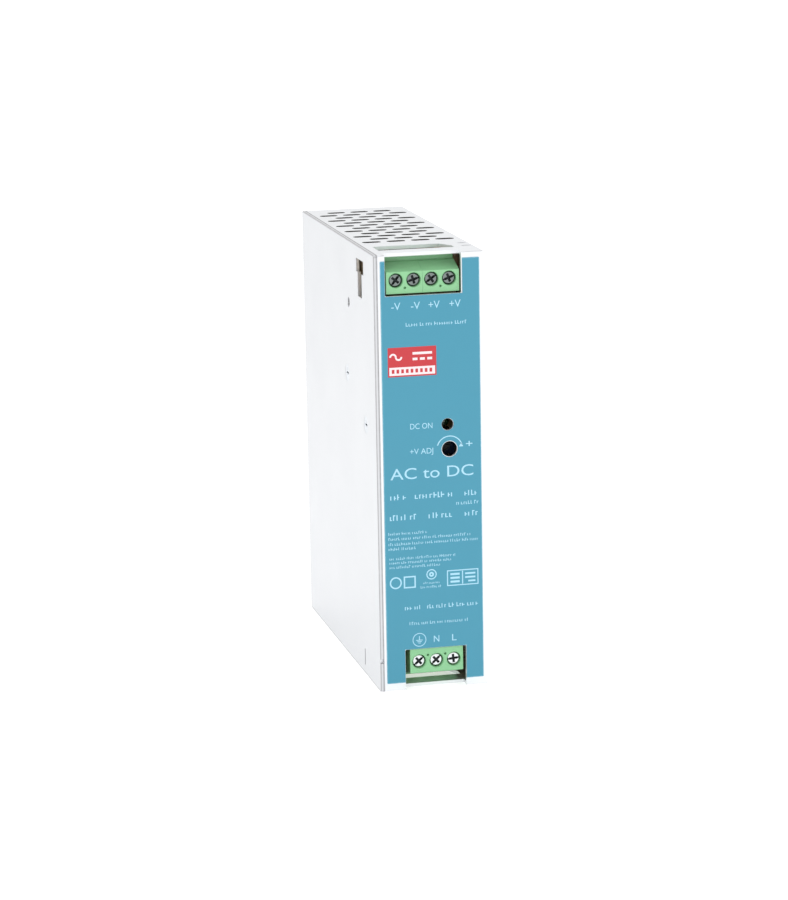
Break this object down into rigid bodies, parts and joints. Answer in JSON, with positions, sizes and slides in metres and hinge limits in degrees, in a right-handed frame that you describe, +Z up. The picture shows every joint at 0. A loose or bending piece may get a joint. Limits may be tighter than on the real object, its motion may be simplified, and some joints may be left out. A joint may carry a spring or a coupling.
{
  "type": "din rail power supply",
  "caption": "Slim metal-cased power supply for a DIN rail, with green screw terminals at top and bottom of the front, a printed front film and a spring latch behind.",
  "frame": {"origin": "centre of the bounding box's bottom face, on the surface the case stands on", "axes": "+Z up along the tall case, -Y out of the front face with the terminals, +X to the right seen from the front"},
  "size_m": [0.032, 0.102, 0.1252],
  "materials": {
    "case_metal": "satin sheet with a fine rolled grain",
    "label_film": "printed film, satin",
    "liner": "pressed insulating card",
    "board": "paper laminate circuit board",
    "terminal_plastic": "moulded light green",
    "screw_steel": "nickel plated",
    "cage_steel": "zinc plated, slightly yellow",
    "zinc_steel": "zinc plated pressed sheet",
    "spring_steel": "bright spring wire",
    "white_plastic": "moulded, matt",
    "trimmer_plastic": "moulded blue",
    "led_lens": "tinted clear lens",
    "black_plastic": "moulded epoxy, fine texture",
    "sleeve": "shrunk dark sleeve",
    "film_yellow": "yellow film and tape",
    "ferrite": "sintered dark grey",
    "enamel_copper": "enamelled copper wire",
    "spreader": "mill finish bar",
    "disc_blue": "dipped blue coating",
    "fuse_body": "white tube, plated caps",
    "green_board": "solder-masked board"
  },
  "bodies": {
    "case": {"main_shell": "case_metal", "side_cover": "case_metal", "front_label": "label_film", "side_liner": "liner", "board_liner": "liner", "main_board": "board", "output_board": "board", "input_board": "board", "output_block_left": "terminal_plastic", "output_block_right": "terminal_plastic", "input_block": "terminal_plastic", "terminal_barrier": "white_plastic", "status_led": "led_lens", "trimmer_body": "trimmer_plastic", "fuse": "fuse_body", "choke_core": "ferrite", "choke_winding_lower": "enamel_copper", "choke_winding_upper": "enamel_copper", "x_capacitor": "film_yellow", "varistor": "disc_blue", "bridge_rectifier": "black_plastic", "bulk_capacitor": "sleeve", "transformer_core": "ferrite", "transformer_winding": "film_yellow", "heat_spreader": "spreader", "output_rectifier": "black_plastic", "switch_transistor": "black_plastic", "rectifier_screw": "screw_steel", "cover_screw": "screw_steel", "transistor_screw": "screw_steel", "output_capacitor_front": "sleeve", "output_capacitor_rear": "sleeve", "output_choke": "enamel_copper", "optocoupler": "black_plastic", "control_board": "green_board", "rail_bracket": "zinc_steel", "latch_spring": "spring_steel", "bracket_screw_left": "screw_steel", "bracket_screw_right": "screw_steel", "board_post_upper": "zinc_steel", "board_post_lower": "zinc_steel", "board_screw_upper": "screw_steel", "board_screw_lower": "screw_steel"},
    "output_screw_1": {"output_screw_1": "screw_steel"},
    "output_cage_1": {"output_cage_1": "cage_steel"},
    "output_screw_2": {"output_screw_2": "screw_steel"},
    "output_cage_2": {"output_cage_2": "cage_steel"},
    "output_screw_3": {"output_screw_3": "screw_steel"},
    "output_cage_3": {"output_cage_3": "cage_steel"},
    "output_screw_4": {"output_screw_4": "screw_steel"},
    "output_cage_4": {"output_cage_4": "cage_steel"},
    "input_screw_1": {"input_screw_1": "screw_steel"},
    "input_cage_1": {"input_cage_1": "cage_steel"},
    "input_screw_2": {"input_screw_2": "screw_steel"},
    "input_cage_2": {"input_cage_2": "cage_steel"},
    "input_screw_3": {"input_screw_3": "screw_steel"},
    "input_cage_3": {"input_cage_3": "cage_steel"},
    "trimmer_rotor": {"trimmer_rotor": "white_plastic"},
    "rail_latch": {"rail_latch": "zinc_steel"}
  },
  "joints": [
    {"name": "output_screw_1_turn", "type": "hinge", "parent": "case", "child": "output_screw_1", "pos_m": [-0.00942, -0.049, 0.1177], "axis": [0, 1, 0], "range_deg": [0, 1440]},
    {"name": "output_cage_1_rise", "type": "slide", "parent": "case", "child": "output_cage_1", "axis": [0, -1, 0], "range_m": [0, 0.002]},
    {"name": "output_screw_2_turn", "type": "hinge", "parent": "case", "child": "output_screw_2", "pos_m": [-0.00434, -0.049, 0.1177], "axis": [0, 1, 0], "range_deg": [0, 1440]},
    {"name": "output_cage_2_rise", "type": "slide", "parent": "case", "child": "output_cage_2", "axis": [0, -1, 0], "range_m": [0, 0.002]},
    {"name": "output_screw_3_turn", "type": "hinge", "parent": "case", "child": "output_screw_3", "pos_m": [0.00074, -0.049, 0.1177], "axis": [0, 1, 0], "range_deg": [0, 1440]},
    {"name": "output_cage_3_rise", "type": "slide", "parent": "case", "child": "output_cage_3", "axis": [0, -1, 0], "range_m": [0, 0.002]},
    {"name": "output_screw_4_turn", "type": "hinge", "parent": "case", "child": "output_screw_4", "pos_m": [0.00582, -0.049, 0.1177], "axis": [0, 1, 0], "range_deg": [0, 1440]},
    {"name": "output_cage_4_rise", "type": "slide", "parent": "case", "child": "output_cage_4", "axis": [0, -1, 0], "range_m": [0, 0.002]},
    {"name": "input_screw_1_turn", "type": "hinge", "parent": "case", "child": "input_screw_1", "pos_m": [-0.00443, -0.049, 0.00785], "axis": [0, 1, 0], "range_deg": [0, 1440]},
    {"name": "input_cage_1_rise", "type": "slide", "parent": "case", "child": "input_cage_1", "axis": [0, -1, 0], "range_m": [0, 0.002]},
    {"name": "input_screw_2_turn", "type": "hinge", "parent": "case", "child": "input_screw_2", "pos_m": [0.00065, -0.049, 0.00785], "axis": [0, 1, 0], "range_deg": [0, 1440]},
    {"name": "input_cage_2_rise", "type": "slide", "parent": "case", "child": "input_cage_2", "axis": [0, -1, 0], "range_m": [0, 0.002]},
    {"name": "input_screw_3_turn", "type": "hinge", "parent": "case", "child": "input_screw_3", "pos_m": [0.00573, -0.049, 0.00785], "axis": [0, 1, 0], "range_deg": [0, 1440]},
    {"name": "input_cage_3_rise", "type": "slide", "parent": "case", "child": "input_cage_3", "axis": [0, -1, 0], "range_m": [0, 0.002]},
    {"name": "trimmer_turn", "type": "hinge", "parent": "case", "child": "trimmer_rotor", "pos_m": [0.005, -0.0444, 0.0694], "axis": [0, 1, 0], "range_deg": [-130, 130]},
    {"name": "latch_slide", "type": "slide", "parent": "case", "child": "rail_latch", "axis": [0, 0, -1], "range_m": [0, 0.005], "stiffness_N_per_m": 600, "springref_m": -0.004, "deforming": ["latch_spring"]}
  ],
  "couplings": [
    {"joint": "output_screw_1_turn", "follows": "output_cage_1_rise", "rad_per_m": 12566},
    {"joint": "output_screw_2_turn", "follows": "output_cage_2_rise", "rad_per_m": 12566},
    {"joint": "output_screw_3_turn", "follows": "output_cage_3_rise", "rad_per_m": 12566},
    {"joint": "output_screw_4_turn", "follows": "output_cage_4_rise", "rad_per_m": 12566},
    {"joint": "input_screw_1_turn", "follows": "input_cage_1_rise", "rad_per_m": 12566},
    {"joint": "input_screw_2_turn", "follows": "input_cage_2_rise", "rad_per_m": 12566},
    {"joint": "input_screw_3_turn", "follows": "input_cage_3_rise", "rad_per_m": 12566}
  ]
}
